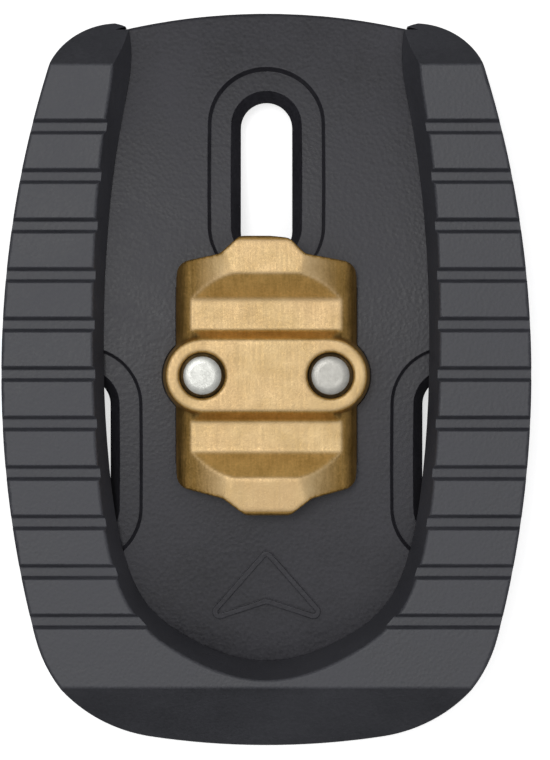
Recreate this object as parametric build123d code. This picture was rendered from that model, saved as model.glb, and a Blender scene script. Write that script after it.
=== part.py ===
from build123d import *
from math import asin, atan, degrees, radians, sqrt, tan
import os

# Three-bolt road-shoe cleat: a curved base plate, a clip-on tread cover, and a brass cleat on two screws.
# Frame: +Z away from the shoe sole (the ground side is up), +Y to the nose, +X to the right from above.
# Origin: middle of the bounding box at its lowest level. All lengths are in millimetres, angles in degrees.

# Overall size and the outer outline of the cover
HALF_WIDTH = 27.0
HEIGHT = 12.4
NOSE_Y = 37.55
TAIL_Y = -37.7
SIDE_RADIUS = 104.3
SIDE_WIDEST_Y = 0.5
TAIL_RADIUS = 72.0
TAIL_CORNER_RADIUS = 14.5
HORN_TIP_Y = 36.7
HORN_CORNER_RADIUS = 7.4
HORN_INNER_X = 16.5
HORN_INNER_RADIUS = 4.6
OUTER_DRAFT = 1.5

# Base plate: a band of even thickness between two concentric arcs about an axis along X
SOLE_RADIUS = 166.0
PLATE_THICKNESS = 4.0
GROUND_RADIUS = SOLE_RADIUS + PLATE_THICKNESS
PLATE_INSET = 2.0
PLATE_TAIL_INSET = 3.2
PLATE_TAIL_Y = TAIL_Y + PLATE_TAIL_INSET
PLATE_NOSE_RADIUS = 64.0
PLATE_NOSE_CORNER_RADIUS = 9.0
PLATE_EDGE_ROUND = 0.35
ARCH_Y = (NOSE_Y + PLATE_TAIL_Y) / 2
ARCH_AXIS_Z = -sqrt(SOLE_RADIUS**2 - (NOSE_Y - ARCH_Y) ** 2)
SOLE_TOP_Z = ARCH_AXIS_Z + SOLE_RADIUS
GROUND_TOP_Z = ARCH_AXIS_Z + GROUND_RADIUS

# Bolt slots: M5 clearance slots along Y in a washer recess, with a steep tapered mouth
SLOT_RADIUS = 2.63
SLOT_LENGTH = 15.9
SLOT_MOUTH_RADIUS = 3.65
SLOT_MOUTH_DEPTH = 1.9
RECESS_RADIUS = 6.0
RECESS_DEPTH = 0.9
RECESS_DRAFT = 20.0
FRONT_SLOT_Y = 20.55
FRONT_RECESS_SHIFT = 0.4
SIDE_SLOT_X = 18.575
SIDE_SLOT_Y = -7.8

# Brass cleat, its screws and the steel backing plate
CLEAT_Y = 0.45
CLEAT_SEAT_Z = GROUND_TOP_Z - 0.5
CLEAT_BASE_HALF_LENGTH = 8.6
CLEAT_BASE_HALF_WIDTH = 9.15
CLEAT_FLANK_Z = GROUND_TOP_Z + 0.9
VALLEY_Z = GROUND_TOP_Z + 2.7
VALLEY_HALF_WIDTH = 7.6
BAR_TOP_Z = GROUND_TOP_Z + 4.0
BAR_RADIUS = 3.75
BAR_DRAFT = 4.5
RIDGE_Z = GROUND_TOP_Z + 4.25
RIDGE_Y = 10.35
RIDGE_HALF_WIDTH = 3.2
TONGUE_Y = 14.1
SHOULDER_RADIUS = 1.6
SCREW_X = 6.46
SCREW_RADIUS = 2.30
TAPPED_RADIUS = 2.32
SCREW_CLEARANCE_RADIUS = 2.75
SCREW_HEAD_RADIUS = 4.28
HEAD_SINK = SCREW_HEAD_RADIUS - SCREW_RADIUS
HEAD_BELOW_FACE = 0.15
HEAD_GAP = 0.02
SCREW_TIP_CHAMFER = 0.4
LEFT_TIP_DEPTH = 0.3
RIGHT_TIP_DEPTH = 0.12
SOCKET_ACROSS_FLATS = 3.0
SOCKET_DEPTH = 1.4
BACKING_LENGTH = 24.0
BACKING_WIDTH = 10.6
BACKING_THICKNESS = 2.0

# Tread cover
COVER_CLEARANCE = 0.3
SKIRT_RISE = 0.5
WALL_DRAFT = 12.5
FRONT_BEVEL_Y = 31.8
FRONT_BEVEL_ANGLE = 62.0
REAR_BEVEL_Y = -31.0
REAR_BEVEL_ANGLE = 60.0
GROOVE_COUNT = 11
GROOVE_PITCH = 4.98
GROOVE_MIDDLE_Y = 0.6
GROOVE_TOP_WIDTH = 1.55
GROOVE_FLOOR_WIDTH = 0.9
GROOVE_DEPTH = 0.8
GROOVE_LIP_ROUND = 0.15
PAD_EDGE_ROUND = 0.35

# Direction mark: a raised arrowhead outline that points to the nose
MARK_Y = -21.3
MARK_HALF_WIDTH = 7.0
MARK_LINE = 0.5
MARK_HEIGHT = 0.35

SPAN = 80.0
BELOW = -5.0


def arch_band(low_radius, high_radius):
    """The region between two arcs about the arch axis, running right across the plate."""
    section = Circle(high_radius) - Circle(low_radius)
    section &= Pos(0, high_radius) * Rectangle(SPAN, 2 * SPAN)
    band = extrude(Plane.YZ * section, amount=SPAN / 2, both=True)
    return Pos(0, ARCH_Y, ARCH_AXIS_Z) * band


def under_arch(radius):
    """Everything below an arc about the arch axis."""
    section = Circle(radius) & Pos(0, radius) * Rectangle(SPAN, SPAN)
    return Pos(0, ARCH_Y, ARCH_AXIS_Z) * extrude(Plane.YZ * section, amount=SPAN / 2, both=True)


def ground_level(y):
    """Height of the plate's ground face at a distance along the object."""
    return ARCH_AXIS_Z + sqrt(GROUND_RADIUS**2 - (y - ARCH_Y) ** 2)


def bowed_outline(inset, tail_inset):
    """The two bowed sides and the bowed tail, before the nose is cut."""
    radius = SIDE_RADIUS - inset
    reach = SIDE_RADIUS - HALF_WIDTH
    face = Pos(-reach, SIDE_WIDEST_Y) * Circle(radius)
    face &= Pos(reach, SIDE_WIDEST_Y) * Circle(radius)
    face &= Pos(0, TAIL_Y + TAIL_RADIUS) * Circle(TAIL_RADIUS - tail_inset)
    return face


def round_corners(face, tail_radius, nose_radius):
    """Rounds the two tail corners and the two nose corners of an outline."""
    corners = face.vertices().sort_by(Axis.Y)
    face = fillet(corners[:2], tail_radius)
    corners = face.vertices().filter_by(lambda v: v.Y > NOSE_Y / 2).sort_by(Axis.Y)
    return fillet(corners[-2:], nose_radius)


def plate_outline(grow=0.0):
    face = bowed_outline(PLATE_INSET - grow, PLATE_TAIL_INSET - grow)
    face &= Pos(0, NOSE_Y - PLATE_NOSE_RADIUS) * Circle(PLATE_NOSE_RADIUS + grow)
    tail = TAIL_CORNER_RADIUS - PLATE_INSET + grow
    return round_corners(face, tail, PLATE_NOSE_CORNER_RADIUS + grow)


def cover_outline():
    face = bowed_outline(0.0, 0.0)
    face &= Pos(0, HORN_TIP_Y - SPAN / 2) * Rectangle(SPAN, SPAN)
    return round_corners(face, TAIL_CORNER_RADIUS, HORN_CORNER_RADIUS)


def slot_face(radius):
    """A slot along Y with the travel of the bolt slots and ends of the given radius."""
    travel = SLOT_LENGTH - 2 * SLOT_RADIUS
    return SlotOverall(travel + 2 * radius, 2 * radius, rotation=90)


def bolt_slot(x, y, shift=0.0):
    """Cutter for one bolt slot: through slot, and tapered mouth and washer recess square to the plate."""
    tilt = degrees(asin((y - ARCH_Y) / GROUND_RADIUS))
    lean = Pos(x, y + shift, ground_level(y + shift)) * Rot(X=-tilt)
    through = Pos(x, y, BELOW) * extrude(slot_face(SLOT_RADIUS), amount=4 * HEIGHT)
    slope = (SLOT_MOUTH_RADIUS - SLOT_RADIUS) / SLOT_MOUTH_DEPTH
    spare = 0.3
    mouth = slot_face(SLOT_MOUTH_RADIUS + spare * slope)
    mouth = extrude(mouth, amount=-SLOT_MOUTH_DEPTH - 2 * spare, taper=degrees(atan(slope)))
    mouth = lean * Pos(0, 0, spare - RECESS_DEPTH) * mouth
    rise = PLATE_THICKNESS
    widest = RECESS_RADIUS + rise * tan(radians(RECESS_DRAFT))
    recess = extrude(slot_face(widest), amount=-1.5 * rise, taper=RECESS_DRAFT)
    recess = lean * Pos(0, 0, rise) * recess
    recess &= arch_band(GROUND_RADIUS - RECESS_DEPTH, GROUND_RADIUS + 2 * rise)
    return through + mouth + recess


def cleat_outline():
    """Top outline of the brass cleat: square shoulders and a narrower tongue at each end."""
    side = CLEAT_BASE_HALF_WIDTH
    points = [
        (-side, -11.2),
        (-4.4, -12.4),
        (-2.1, -TONGUE_Y),
        (2.4, -TONGUE_Y),
        (4.6, -12.4),
        (side, -11.2),
        (side, 11.4),
        (3.9, 12.3),
        (2.3, 13.9),
        (0.4, TONGUE_Y),
        (-2.7, TONGUE_Y),
        (-4.7, 12.3),
        (-side, 11.4),
    ]
    face = make_face(Polyline(*points, close=True))
    shoulders = face.vertices().filter_by(lambda v: abs(v.X) > side - 0.01)
    face = fillet(shoulders, SHOULDER_RADIUS)
    tongues = face.vertices().filter_by(lambda v: abs(v.X) < side / 1.8)
    return fillet(tongues, 0.9)


def cleat_side_profile():
    """Side view of the brass cleat: undercut tongues, ridges and the valley between them."""
    half = [
        (CLEAT_BASE_HALF_LENGTH, CLEAT_SEAT_Z),
        (CLEAT_BASE_HALF_LENGTH + 0.3, CLEAT_FLANK_Z - 0.2),
        (TONGUE_Y - 2.2, CLEAT_FLANK_Z),
        (TONGUE_Y, VALLEY_Z - 0.5),
        (TONGUE_Y, RIDGE_Z - 0.2),
        (RIDGE_Y, RIDGE_Z),
        (7.7, VALLEY_Z),
    ]
    mirrored = [(-y, z) for y, z in reversed(half)]
    face = make_face(Polyline(*(half + mirrored), close=True))
    radii = (0.0, 0.4, 0.8, 0.35, 0.6, 0.5, 0.5)
    for (y, z), radius in zip(half, radii):
        if radius:
            near = face.vertices().filter_by(lambda v: abs(v.Y - z) < 1e-4 and abs(abs(v.X) - y) < 1e-4)
            face = fillet(near, radius)
    return face


def cleat_front_profile():
    """Front view of the brass cleat: upright foot, rounded flanks, domed ridge above."""
    base = (CLEAT_BASE_HALF_WIDTH, CLEAT_SEAT_Z)
    flank = (CLEAT_BASE_HALF_WIDTH, CLEAT_FLANK_Z)
    bulge = (CLEAT_BASE_HALF_WIDTH - 0.58, CLEAT_FLANK_Z + 1.06)
    rim = (VALLEY_HALF_WIDTH, VALLEY_Z)
    crown = (5.4, RIDGE_Z - 0.5)
    ridge = (RIDGE_HALF_WIDTH, RIDGE_Z)
    right = [
        Line((0, CLEAT_SEAT_Z), base),
        Line(base, flank),
        ThreePointArc(flank, bulge, rim),
        ThreePointArc(rim, crown, ridge),
        Line(ridge, (0, RIDGE_Z)),
    ]
    return make_face(right + [mirror(edge, Plane.YZ) for edge in right])


def cleat_blank():
    """The brass body without its screw holes."""
    body = Pos(0, 0, BELOW) * extrude(cleat_outline(), amount=4 * HEIGHT)
    body &= extrude(Plane.YZ * cleat_side_profile(), amount=SPAN / 2, both=True)
    body &= extrude(Plane.XZ * cleat_front_profile(), amount=SPAN / 2, both=True)
    step = BAR_TOP_Z - VALLEY_Z
    ramp = Polyline(
        (-BAR_RADIUS - 0.8, VALLEY_Z - 0.5),
        (-BAR_RADIUS - 0.8, VALLEY_Z),
        (-BAR_RADIUS + 0.1, BAR_TOP_Z),
        (BAR_RADIUS - 0.1, BAR_TOP_Z),
        (BAR_RADIUS + 0.8, VALLEY_Z),
        (BAR_RADIUS + 0.8, VALLEY_Z - 0.5),
        close=True,
    )
    ramp = extrude(Plane.YZ * make_face(ramp), amount=VALLEY_HALF_WIDTH, both=True)
    slope = (CLEAT_BASE_HALF_WIDTH - VALLEY_HALF_WIDTH) / (VALLEY_Z - CLEAT_FLANK_Z)
    top_half = VALLEY_HALF_WIDTH - slope * step
    flanks = Polyline(
        (-CLEAT_BASE_HALF_WIDTH, CLEAT_FLANK_Z),
        (-top_half, BAR_TOP_Z),
        (top_half, BAR_TOP_Z),
        (CLEAT_BASE_HALF_WIDTH, CLEAT_FLANK_Z),
        close=True,
    )
    ramp &= extrude(Plane.XZ * make_face(flanks), amount=SPAN / 2, both=True)
    pill = SlotOverall(2 * (SCREW_X + BAR_RADIUS), 2 * BAR_RADIUS)
    bar = extrude(pill, amount=CLEAT_SEAT_Z - BAR_TOP_Z, taper=-BAR_DRAFT)
    bar = fillet(bar.faces().sort_by(Axis.Z)[-1].edges(), 0.3)
    bar = Pos(0, 0, BAR_TOP_Z) * bar
    return Pos(0, CLEAT_Y) * (body + ramp + bar)


def brass_cleat():
    cleat = cleat_blank()
    for x in (-SCREW_X, SCREW_X):
        cleat -= Pos(x, CLEAT_Y, BELOW) * Cylinder(TAPPED_RADIUS, 4 * HEIGHT)
    return cleat


def cleat_seat():
    """The shallow flat pocket in the plate that the brass cleat stands in."""
    gap = 0.06
    end = BAR_RADIUS + (BAR_TOP_Z - CLEAT_SEAT_Z) * tan(radians(BAR_DRAFT)) + gap
    foot = Rectangle(2 * (CLEAT_BASE_HALF_WIDTH + gap), 2 * (CLEAT_BASE_HALF_LENGTH + 0.3 + gap))
    foot += SlotOverall(2 * (SCREW_X + end), 2 * end)
    return Pos(0, CLEAT_Y, CLEAT_SEAT_Z) * extrude(foot, amount=HEIGHT)


def backing_plate():
    """Steel strip in the sole side that the screw heads pull against."""
    strip = extrude(SlotOverall(BACKING_LENGTH, BACKING_WIDTH), amount=BACKING_THICKNESS)
    strip = chamfer(strip.faces().sort_by(Axis.Z)[0].edges(), 0.3)
    depth = HEAD_SINK + HEAD_BELOW_FACE + HEAD_GAP
    for x in (-SCREW_X, SCREW_X):
        strip -= Pos(x, 0) * Cylinder(SCREW_CLEARANCE_RADIUS, 4 * BACKING_THICKNESS)
        strip -= Pos(x, 0, depth / 2) * Cone(SCREW_RADIUS + depth, SCREW_RADIUS, depth)
    return Pos(0, CLEAT_Y, SOLE_TOP_Z) * strip


def cleat_screw(x, tip_depth):
    """Countersunk M5 screw, head on the sole side, tip just under the top of the brass bar."""
    head_z = SOLE_TOP_Z + HEAD_BELOW_FACE
    shank = extrude(Circle(SCREW_RADIUS), amount=BAR_TOP_Z - tip_depth - head_z)
    shank = chamfer(shank.faces().sort_by(Axis.Z)[-1].edges(), SCREW_TIP_CHAMFER)
    head = Pos(0, 0, HEAD_SINK / 2) * Cone(SCREW_HEAD_RADIUS, SCREW_RADIUS, HEAD_SINK)
    socket = extrude(RegularPolygon(SOCKET_ACROSS_FLATS / 2, 6, major_radius=False), amount=SOCKET_DEPTH)
    return Pos(x, CLEAT_Y, head_z) * (shank + head - socket)


def direction_mark():
    """Raised outline of an arrowhead, thin as a moulded line, following the curve of the plate."""
    arrow = make_face(
        Polyline(
            (-MARK_HALF_WIDTH, -3.8),
            (0, 4.2),
            (MARK_HALF_WIDTH, -3.8),
            (0, -1.5),
            close=True,
        )
    )
    arrow = fillet(arrow.vertices(), 0.7)
    line = arrow - offset(arrow, -MARK_LINE)
    line = Pos(0, MARK_Y, 0) * extrude(line, amount=HEIGHT)
    return line & arch_band(GROUND_RADIUS - 0.5, GROUND_RADIUS + MARK_HEIGHT)


def base_plate():
    plate = extrude(plate_outline(), amount=HEIGHT)
    plate &= arch_band(SOLE_RADIUS, GROUND_RADIUS)
    rim = plate.faces().sort_by(SortBy.AREA)[-2:].edges()
    plate = fillet(rim, PLATE_EDGE_ROUND)
    plate += direction_mark()
    plate -= bolt_slot(0, FRONT_SLOT_Y, FRONT_RECESS_SHIFT)
    for x in (-SIDE_SLOT_X, SIDE_SLOT_X):
        plate -= bolt_slot(x, SIDE_SLOT_Y)
    plate -= cleat_seat()
    pocket = SlotOverall(BACKING_LENGTH + 0.2, BACKING_WIDTH + 0.2)
    pocket = extrude(pocket, amount=SOLE_TOP_Z + BACKING_THICKNESS - BELOW)
    plate -= Pos(0, CLEAT_Y, BELOW) * pocket
    for x in (-SCREW_X, SCREW_X):
        plate -= Pos(x, CLEAT_Y, BELOW) * Cylinder(SCREW_CLEARANCE_RADIUS, 8 * HEIGHT)
    return plate


def window_face(inset):
    """The open middle of the cover, drawn in by an inset measured square to its edge."""
    right = [
        (8.85, -27.4),
        (13.2, -23.7),
        (15.5, -18.5),
        (16.8, -10.5),
        (17.45, 2.0),
        (17.2, 15.0),
        (16.0, 27.2),
        (15.4, 33.0),
        (16.2, 37.0),
        (19.0, 42.0),
    ]
    points = [(-x, y) for x, y in reversed(right)] + [(0, -30.2)] + right
    drawn = [Vector(points[0][0] + inset, points[0][1])]
    for before, here, after in zip(points, points[1:], points[2:]):
        along = (Vector(after) - Vector(before)).normalized()
        drawn.append(Vector(here) + Vector(-along.Y, along.X) * inset)
    drawn.append(Vector(points[-1][0] - inset, points[-1][1]))
    return make_face([Spline(*drawn), Line(drawn[-1], drawn[0])])


def cover_window():
    """Cutter for the open middle: walls with draft, then straight down past the plate."""
    foot_z = ground_level(HORN_TIP_Y)
    inset = (HEIGHT - foot_z) * tan(radians(WALL_DRAFT))
    foot = window_face(inset)
    walls = loft([Pos(0, 0, foot_z) * foot, Pos(0, 0, HEIGHT) * window_face(0.0)])
    return walls + Pos(0, 0, foot_z - HEIGHT) * extrude(foot, amount=HEIGHT)


def horn_corner():
    """Cutter that rounds off the inner corner of the right horn."""
    middle_y = HORN_TIP_Y - HORN_INNER_RADIUS
    block = 2 * HORN_INNER_RADIUS
    corner = Pos(HORN_INNER_X - block / 2, middle_y + block / 2) * Rectangle(block, block)
    corner -= Pos(HORN_INNER_X, middle_y) * Circle(HORN_INNER_RADIUS)
    return Pos(0, 0, BELOW) * extrude(corner, amount=4 * HEIGHT)


def bevel(y, angle, outward):
    """A block that cuts a plane sloping down from a line across the top of the cover."""
    block = Pos(0, outward * SPAN / 2, SPAN / 2) * Box(2 * SPAN, SPAN, SPAN)
    return Pos(0, y, HEIGHT) * Rot(X=-outward * angle) * block


def tread_grooves():
    """The cross grooves of the tread, with rounded lips and floor corners."""
    ledge = 0.005
    section = make_face(
        Polyline(
            (-GROOVE_TOP_WIDTH / 2, ledge),
            (-GROOVE_FLOOR_WIDTH / 2, -GROOVE_DEPTH),
            (GROOVE_FLOOR_WIDTH / 2, -GROOVE_DEPTH),
            (GROOVE_TOP_WIDTH / 2, ledge),
            (GROOVE_TOP_WIDTH, ledge),
            (GROOVE_TOP_WIDTH, 1),
            (-GROOVE_TOP_WIDTH, 1),
            (-GROOVE_TOP_WIDTH, ledge),
            close=True,
        )
    )
    corners = section.vertices().filter_by(lambda v: abs(v.X) < GROOVE_TOP_WIDTH / 2 + 0.01)
    section = fillet(corners, GROOVE_LIP_ROUND)
    groove = extrude(Plane.YZ * section, amount=SPAN / 2, both=True)
    first = GROOVE_MIDDLE_Y - GROOVE_PITCH * (GROOVE_COUNT - 1) / 2
    return [Pos(0, first + i * GROOVE_PITCH, HEIGHT) * groove for i in range(GROOVE_COUNT)]


def tread_cover():
    cover = extrude(cover_outline(), amount=HEIGHT, taper=OUTER_DRAFT)
    cover -= bevel(FRONT_BEVEL_Y, FRONT_BEVEL_ANGLE, 1)
    cover -= bevel(REAR_BEVEL_Y, REAR_BEVEL_ANGLE, -1)
    cover -= cover_window()
    cover -= horn_corner()
    cover -= mirror(horn_corner(), Plane.YZ)
    rim = cover.edges().filter_by(lambda e: abs(e.center().Z - HEIGHT) < 1e-3)
    cover = fillet(rim, PAD_EDGE_ROUND)
    cover -= under_arch(SOLE_RADIUS + SKIRT_RISE)
    inside = Pos(0, 0, BELOW) * extrude(plate_outline(COVER_CLEARANCE), amount=4 * HEIGHT)
    cover -= inside & under_arch(GROUND_RADIUS + COVER_CLEARANCE)
    for groove in tread_grooves():
        cover -= groove
    return cover


parts = {
    "base_plate": base_plate(),
    "tread_cover": tread_cover(),
    "brass_cleat": brass_cleat(),
    "backing_plate": backing_plate(),
    "cleat_screw_left": cleat_screw(-SCREW_X, LEFT_TIP_DEPTH),
    "cleat_screw_right": cleat_screw(SCREW_X, RIGHT_TIP_DEPTH),
}
os.makedirs("parts", exist_ok=True)
for name, solid in parts.items():
    export_step(solid, f"parts/{name}.step")
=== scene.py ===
import bpy
import bmesh
import math
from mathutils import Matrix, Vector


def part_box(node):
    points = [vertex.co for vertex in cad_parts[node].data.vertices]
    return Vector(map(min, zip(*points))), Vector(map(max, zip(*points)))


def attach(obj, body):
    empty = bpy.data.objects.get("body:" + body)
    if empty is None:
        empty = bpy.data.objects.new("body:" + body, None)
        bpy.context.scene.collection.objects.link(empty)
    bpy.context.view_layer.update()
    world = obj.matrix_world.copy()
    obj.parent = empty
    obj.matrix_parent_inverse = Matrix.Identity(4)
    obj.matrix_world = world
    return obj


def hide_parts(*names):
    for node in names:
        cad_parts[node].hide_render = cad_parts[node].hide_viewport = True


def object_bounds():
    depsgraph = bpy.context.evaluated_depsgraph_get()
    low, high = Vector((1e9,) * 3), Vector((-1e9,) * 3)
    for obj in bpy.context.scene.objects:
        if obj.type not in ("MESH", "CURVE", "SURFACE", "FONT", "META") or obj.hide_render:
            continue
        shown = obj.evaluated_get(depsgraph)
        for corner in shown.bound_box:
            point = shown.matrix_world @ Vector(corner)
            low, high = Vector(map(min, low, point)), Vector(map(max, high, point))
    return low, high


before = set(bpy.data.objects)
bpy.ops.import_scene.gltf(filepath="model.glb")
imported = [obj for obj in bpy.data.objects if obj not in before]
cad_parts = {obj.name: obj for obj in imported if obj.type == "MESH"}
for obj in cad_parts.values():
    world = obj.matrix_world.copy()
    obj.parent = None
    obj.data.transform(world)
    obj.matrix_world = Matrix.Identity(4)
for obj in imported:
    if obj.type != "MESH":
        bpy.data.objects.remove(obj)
CAD_LOW, CAD_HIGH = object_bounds()

MM = 0.001

# How brightly the surroundings and the floor light the object, apart from what the camera sees of them
SURROUND = 0.18
FLOOR_BOUNCE = 0.12

FLOOR_SIZE = 3.0
LOW_PANELS = 8
EDGE_SAMPLES = 6


# ---------------------------------------------------------------- node graphs
class Graph:
    """A material's node tree, with short calls for the nodes used below."""

    def __init__(self, name):
        self.material = bpy.data.materials.new(name)
        self.material.use_nodes = True
        self.tree = self.material.node_tree
        self.shader = self.tree.nodes["Principled BSDF"]
        self.place = self.add("ShaderNodeTexCoord").outputs["Object"]

    def add(self, kind, **values):
        node = self.tree.nodes.new(kind)
        for key, value in values.items():
            setattr(node, key, value)
        return node

    def link(self, value, socket):
        if isinstance(value, (int, float)):
            socket.default_value = value
        elif isinstance(value, (tuple, list)):
            if len(socket.default_value) == 4 and len(value) == 3:
                value = (*value, 1.0)
            socket.default_value = value
        else:
            self.tree.links.new(value, socket)

    def math(self, operation, a, b=0.0, clamp=False):
        node = self.add("ShaderNodeMath", operation=operation, use_clamp=clamp)
        self.link(a, node.inputs[0])
        self.link(b, node.inputs[1])
        return node.outputs[0]

    def stretch(self, scale):
        """Object coordinates scaled by a factor for each axis."""
        node = self.add("ShaderNodeVectorMath", operation="MULTIPLY")
        self.link(self.place, node.inputs[0])
        self.link(scale, node.inputs[1])
        return node.outputs[0]

    def noise(self, scale, detail=3.0, rough=0.5, vector=None):
        node = self.add("ShaderNodeTexNoise")
        self.link(vector or self.place, node.inputs["Vector"])
        self.link(scale, node.inputs["Scale"])
        self.link(detail, node.inputs["Detail"])
        self.link(rough, node.inputs["Roughness"])
        return node.outputs["Fac"]

    def cells(self, scale, vector=None, feature="F1"):
        node = self.add("ShaderNodeTexVoronoi", feature=feature)
        self.link(vector or self.place, node.inputs["Vector"])
        self.link(scale, node.inputs["Scale"])
        return node.outputs["Distance"]

    def spread(self, value, low, high, to_low=0.0, to_high=1.0):
        node = self.add("ShaderNodeMapRange")
        self.link(value, node.inputs["Value"])
        for key, number in (("From Min", low), ("From Max", high), ("To Min", to_low), ("To Max", to_high)):
            self.link(number, node.inputs[key])
        return node.outputs["Result"]

    def mix(self, amount, a, b):
        node = self.add("ShaderNodeMix", data_type="RGBA")
        self.link(amount, node.inputs["Factor"])
        self.link(a, node.inputs["A"])
        self.link(b, node.inputs["B"])
        return node.outputs["Result"]

    def edges(self, radius, gain):
        """How close a point is to a sharp edge, from 0 on open faces to 1 on the edge."""
        bevel = self.add("ShaderNodeBevel", samples=EDGE_SAMPLES)
        self.link(radius, bevel.inputs["Radius"])
        normal = self.add("ShaderNodeNewGeometry").outputs["Normal"]
        dot = self.add("ShaderNodeVectorMath", operation="DOT_PRODUCT")
        self.link(bevel.outputs["Normal"], dot.inputs[0])
        self.link(normal, dot.inputs[1])
        return self.math("MULTIPLY", self.math("SUBTRACT", 1.0, dot.outputs["Value"]), gain, clamp=True)

    def facing_up(self):
        """The upward part of the surface normal: 1 on level tops, 0 on upright walls."""
        split = self.add("ShaderNodeSeparateXYZ")
        self.link(self.add("ShaderNodeNewGeometry").outputs["Normal"], split.inputs[0])
        return split.outputs["Z"]

    def bump(self, *layers, radius=None):
        """Stacks (height, distance in metres) layers, over rounded edges if a radius is given."""
        normal = None
        if radius:
            bevel = self.add("ShaderNodeBevel", samples=EDGE_SAMPLES)
            self.link(radius, bevel.inputs["Radius"])
            normal = bevel.outputs["Normal"]
        for height, distance in layers:
            node = self.add("ShaderNodeBump")
            self.link(height, node.inputs["Height"])
            self.link(distance, node.inputs["Distance"])
            if normal is not None:
                self.link(normal, node.inputs["Normal"])
            normal = node.outputs["Normal"]
        self.link(normal, self.shader.inputs["Normal"])

    def set(self, **values):
        for key, value in values.items():
            self.link(value, self.shader.inputs[key.replace("_", " ")])


# ------------------------------------------------------------------ materials
def moulded(name, dark, light, rough_low, rough_high, grain, gloss):
    """Black moulded plastic or rubber with spark-eroded grain, faint flow marks and rubbed edges."""
    g = Graph(name)
    flow = g.noise(90.0, 4.0, 0.6)
    fine = g.noise(3000.0, 2.0, 0.6)
    pits = g.cells(grain)
    mottled = g.math("ADD", g.math("MULTIPLY", flow, 0.55), g.math("MULTIPLY", fine, 0.45))
    tone = g.spread(mottled, 0.35, 0.65)
    edge = g.edges(0.25 * MM, 3.0)
    worn = g.math("MULTIPLY", edge, g.spread(g.noise(420.0, 3.0), 0.4, 0.6), clamp=True)
    base = g.mix(tone, dark, light)
    rubbed = tuple(min(1.0, 1.5 * v) for v in light)
    g.link(g.mix(g.math("MULTIPLY", worn, 0.5), base, rubbed), g.shader.inputs["Base Color"])
    g.link(g.spread(mottled, 0.35, 0.65, rough_low, rough_high), g.shader.inputs["Roughness"])
    g.set(Specular_IOR_Level=gloss)
    g.bump((flow, 0.004 * MM), (pits, 0.018 * MM), (fine, 0.012 * MM), radius=0.12 * MM)
    return g.material


def brass():
    """Cast brass: blasted slopes of a deep gold, and flat tops ground paler and brushed along Y. The gold
    is picked by facing direction, partly as that real finish and partly as painted light: the slopes'
    deeper gold stands in for how they look in shade.
    """
    g = Graph("cleat_brass_look")
    cloud = g.noise(420.0, 4.0, 0.65)
    grit = g.noise(4200.0, 2.0, 0.7)
    brush = g.noise(1.0, 3.0, 0.6, vector=g.stretch((4200.0, 160.0, 900.0)))
    warm = g.noise(150.0, 2.0, 0.5)
    # Edge mask for a painted highlight that is partly real worn bright edges
    edge = g.edges(0.3 * MM, 2.5)
    sand = g.math("ADD", g.math("MULTIPLY", cloud, 0.45), g.math("MULTIPLY", grit, 0.30))
    tone = g.spread(g.math("ADD", sand, g.math("MULTIPLY", brush, 0.25)), 0.38, 0.62)
    top = g.mix(tone, (0.42, 0.290, 0.135), (0.58, 0.425, 0.225))
    top = g.mix(g.spread(warm, 0.4, 0.6, 0.0, 0.35), top, (0.55, 0.37, 0.200))
    # Painted shade, partly real finish: slopes get their own deeper gold by facing direction, tuned to how
    # shaded slopes look
    slope_gold_finish_and_shade = g.mix(tone, (0.46, 0.270, 0.070), (0.74, 0.455, 0.145))
    flatness = g.spread(g.facing_up(), 0.86, 0.97)
    base = g.mix(flatness, slope_gold_finish_and_shade, top)
    # Painted highlight, partly worn bright edges: edges are mixed towards pale gold
    g.link(g.mix(g.math("MULTIPLY", edge, 0.35), base, (0.74, 0.57, 0.33)), g.shader.inputs["Base Color"])
    rough = g.math("ADD", g.spread(grit, 0.3, 0.7, 0.42, 0.54), g.spread(brush, 0.3, 0.7, -0.05, 0.05))
    g.link(rough, g.shader.inputs["Roughness"])
    g.set(Metallic=1.0)
    g.bump((cloud, 0.012 * MM), (brush, 0.004 * MM), (grit, 0.012 * MM))
    return g.material


def steel(name, colour, rough, lathe=True):
    """Plated steel with fine mottled marks, or straight brushing."""
    g = Graph(name)
    cloud = g.noise(1100.0, 4.0, 0.7)
    if lathe:
        lines = g.noise(6000.0, 2.0, 0.6)
    else:
        lines = g.noise(1.0, 3.0, 0.6, vector=g.stretch((120.0, 6000.0, 900.0)))
    marks = g.math("ADD", g.math("MULTIPLY", cloud, 0.7), g.math("MULTIPLY", lines, 0.3))
    tone = g.spread(marks, 0.35, 0.65)
    dull = tuple(0.72 * v for v in colour)
    g.link(g.mix(tone, dull, colour), g.shader.inputs["Base Color"])
    g.link(g.spread(lines, 0.3, 0.7, rough - 0.06, rough + 0.08), g.shader.inputs["Roughness"])
    g.set(Metallic=1.0)
    g.bump((cloud, 0.008 * MM), (lines, 0.003 * MM))
    return g.material


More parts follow.
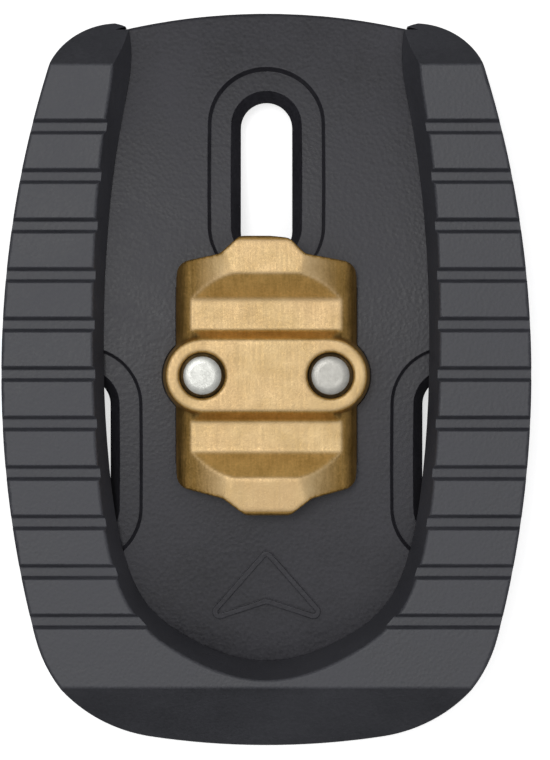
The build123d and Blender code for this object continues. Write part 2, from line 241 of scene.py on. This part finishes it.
def floor_look():
    """White board that the camera sees evenly lit, and that throws little light back up at the object."""
    g = Graph("floor_look")
    grain = g.noise(900.0, 3.0, 0.6)
    g.link(g.mix(grain, (0.84, 0.84, 0.84), (0.88, 0.88, 0.88)), g.shader.inputs["Base Color"])
    g.link(g.spread(grain, 0.3, 0.7, 0.75, 0.85), g.shader.inputs["Roughness"])
    g.set(Emission_Color=(1.0, 1.0, 1.0), Emission_Strength=0.66, Specular_IOR_Level=0.2)
    dim = g.add("ShaderNodeBsdfDiffuse")
    dim.inputs["Color"].default_value = (FLOOR_BOUNCE, FLOOR_BOUNCE, FLOOR_BOUNCE, 1.0)
    pick = g.add("ShaderNodeMixShader")
    g.link(g.add("ShaderNodeLightPath").outputs["Is Camera Ray"], pick.inputs[0])
    g.link(dim.outputs[0], pick.inputs[1])
    g.link(g.shader.outputs[0], pick.inputs[2])
    g.link(pick.outputs[0], g.tree.nodes["Material Output"].inputs["Surface"])
    return g.material


def give(obj, material):
    obj.data.materials.clear()
    obj.data.materials.append(material)


# --------------------------------------------------------------------- pieces
def copy_of(node, name):
    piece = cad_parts[node].copy()
    piece.data = piece.data.copy()
    piece.name = piece.data.name = name
    piece.parent = None
    for key in list(piece.keys()):
        del piece[key]
    bpy.context.scene.collection.objects.link(piece)
    return piece


def apply_modifiers(piece):
    graph = bpy.context.evaluated_depsgraph_get()
    mesh = bpy.data.meshes.new_from_object(piece.evaluated_get(graph))
    piece.modifiers.clear()
    piece.data = mesh
    mesh.name = piece.name


def softened(node, name, voxel, rounds):
    """A copy of a CAD node whose edges are rounded all over, as blasting leaves them."""
    piece = copy_of(node, name)
    remesh = piece.modifiers.new("remesh", "REMESH")
    remesh.mode = "VOXEL"
    remesh.voxel_size = voxel
    smooth = piece.modifiers.new("smooth", "SMOOTH")
    smooth.factor = 0.5
    smooth.iterations = rounds
    apply_modifiers(piece)
    piece.data.shade_smooth()
    return piece


def make_screw(node, start):
    """A countersunk screw with a rolled thread, a chamfered tip and a hexagon socket in its head."""
    low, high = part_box(node)
    middle_x, middle_y = (low.x + high.x) / 2, (low.y + high.y) / 2
    crest, root, pitch = 2.28 * MM, 1.96 * MM, 0.8 * MM
    flat, shoulder, shoulder_drop = 1.66 * MM, 1.92 * MM, 0.10 * MM
    head, rim = 4.24 * MM, 0.06 * MM
    socket_depth, across_flats = 1.4 * MM, 3.0 * MM
    sides, step = 72, 0.05 * MM
    top, bottom = high.z, low.z

    def thread(angle, z):
        turn = (z / pitch - angle / math.tau + start) % 1.0
        ridge = min(1.0, max(0.0, 1.45 - 3.2 * abs(turn - 0.5)))
        return min(root + (crest - root) * ridge, shoulder + (top - shoulder_drop - z) * 0.7)

    def hexagon(angle, z):
        return across_flats / 2 / math.cos((angle % (math.pi / 3)) - math.pi / 6)

    def ring(radius, z):
        points = []
        for i in range(sides):
            angle = math.tau * i / sides
            reach = radius(angle, z) if callable(radius) else radius
            x, y = middle_x + reach * math.cos(angle), middle_y + reach * math.sin(angle)
            points.append(work.verts.new((x, y, z)))
        return points

    work = bmesh.new()
    rings = [ring(flat * k, top) for k in (0.35, 0.7, 1.0)]
    rings.append(ring(shoulder, top - shoulder_drop))
    shank_end = bottom + head - crest
    for i in range(3, int((top - shank_end) / step)):
        rings.append(ring(thread, top - i * step))
    rings.append(ring(crest, shank_end))
    rings.append(ring(head - rim, bottom + rim))
    rings.append(ring(head - 2 * rim, bottom))
    rings.append(ring(head / 2, bottom))
    rings.append(ring(hexagon, bottom + 0.05 * MM))
    rings.append(ring(hexagon, bottom + socket_depth))
    rings.append(ring(0.6 * MM, bottom + socket_depth + 0.25 * MM))
    for above, below in zip(rings, rings[1:]):
        for i in range(sides):
            j = (i + 1) % sides
            work.faces.new((above[i], below[i], below[j], above[j]))
    work.faces.new(rings[0])
    work.faces.new(reversed(rings[-1]))
    mesh = bpy.data.meshes.new(node + "_threaded")
    bmesh.ops.recalc_face_normals(work, faces=work.faces)
    work.to_mesh(mesh)
    work.free()
    mesh.shade_smooth()
    mesh.set_sharp_from_angle(angle=math.radians(32))
    screw = bpy.data.objects.new(node + "_threaded", mesh)
    bpy.context.scene.collection.objects.link(screw)
    return screw


# ---------------------------------------------------------------------- stage
def make_floor():
    mesh = bpy.data.meshes.new("floor")
    work = bmesh.new()
    bmesh.ops.create_grid(work, x_segments=8, y_segments=8, size=FLOOR_SIZE / 2)
    work.to_mesh(mesh)
    work.free()
    floor = bpy.data.objects.new("floor", mesh)
    bpy.context.scene.collection.objects.link(floor)
    floor.location.z = CAD_LOW.z - 0.02 * MM
    give(floor, floor_look())


def make_panel(name, lean, half_angle, brightness, distance=0.85, turn=0.0):
    """A square softbox facing the object, leaning from overhead towards the nose or a turn away from it."""
    side = 2 * distance * math.tan(math.radians(half_angle))
    data = bpy.data.lights.new(name, "AREA")
    data.shape = "SQUARE"
    data.size = side
    data.energy = brightness * math.pi * side**2
    light = bpy.data.objects.new(name, data)
    reach, rise = distance * math.sin(math.radians(lean)), distance * math.cos(math.radians(lean))
    light.location = (reach * math.sin(math.radians(turn)), reach * math.cos(math.radians(turn)), rise)
    light.rotation_euler = (-light.location).to_track_quat("-Z", "Y").to_euler()
    bpy.context.scene.collection.objects.link(light)


def make_world():
    world = bpy.data.worlds.new("studio")
    bpy.context.scene.world = world
    world.use_nodes = True
    tree = world.node_tree
    back = tree.nodes["Background"]
    back.inputs["Color"].default_value = (0.96, 0.97, 1.0, 1.0)
    back.inputs["Strength"].default_value = SURROUND
    shown = tree.nodes.new("ShaderNodeBackground")
    shown.inputs["Color"].default_value = (0.95, 0.95, 0.96, 1.0)
    shown.inputs["Strength"].default_value = 1.0
    rays = tree.nodes.new("ShaderNodeLightPath")
    pick = tree.nodes.new("ShaderNodeMixShader")
    tree.links.new(rays.outputs["Is Camera Ray"], pick.inputs[0])
    tree.links.new(back.outputs[0], pick.inputs[1])
    tree.links.new(shown.outputs[0], pick.inputs[2])
    tree.links.new(pick.outputs[0], tree.nodes["World Output"].inputs["Surface"])


def make_camera():
    """Looks straight down the Z axis at the ground side, nose up, a little right of the middle."""
    distance, level = 0.45, 8.0 * MM
    tall_at_level = 77.2 * MM
    data = bpy.data.cameras.new("camera")
    data.sensor_width = 36.0
    data.lens = data.sensor_width * distance / tall_at_level
    data.clip_start, data.clip_end = 0.01, 10.0
    camera = bpy.data.objects.new("camera", data)
    camera.location = (0.87 * MM, 0.0, level + distance)
    bpy.context.scene.collection.objects.link(camera)
    bpy.context.scene.camera = camera


# ------------------------------------------------------------------- assembly
plate_look = moulded(
    "plate_nylon_look", dark=(0.016, 0.0155, 0.020), light=(0.044, 0.043, 0.052),
    rough_low=0.36, rough_high=0.52, grain=2400.0, gloss=0.40,
)
cover_look = moulded(
    "cover_rubber_look", dark=(0.032, 0.033, 0.040), light=(0.062, 0.063, 0.074),
    rough_low=0.44, rough_high=0.60, grain=2800.0, gloss=0.56,
)
brass_look = brass()
bright_looks = {
    "left": steel("cleat_screw_left_look", (0.46, 0.46, 0.43), 0.36),
    "right": steel("cleat_screw_right_look", (0.38, 0.37, 0.34), 0.40),
}
zinc_look = steel("zinc_steel_look", (0.66, 0.67, 0.68), 0.34, lathe=False)

give(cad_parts["base_plate"], plate_look)
give(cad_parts["tread_cover"], cover_look)
give(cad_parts["backing_plate"], zinc_look)
for side, start in (("left", 0.15), ("right", 0.62)):
    screw = make_screw("cleat_screw_" + side, start)
    give(screw, bright_looks[side])
    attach(screw, "base")
    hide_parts("cleat_screw_" + side)

cleat = softened("brass_cleat", "brass_cleat_body", 0.15 * MM, 8)
give(cleat, brass_look)
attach(cleat, "base")
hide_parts("brass_cleat")

make_floor()
make_world()
make_panel("overhead", 0.0, 40.0, 0.74)
make_panel("key", 11.0, 7.0, 9.9, turn=-50.0)
make_panel("nose_fill", 60.0, 13.0, 0.40)
make_panel("tail_fill", -60.0, 13.0, 0.33)
for i in range(LOW_PANELS):
    make_panel(f"low_ring_{i}", 82.0, 9.0, 0.6, turn=(i + 0.5) * 360.0 / LOW_PANELS)
make_camera()
bpy.context.scene.view_settings.view_transform = "Standard"
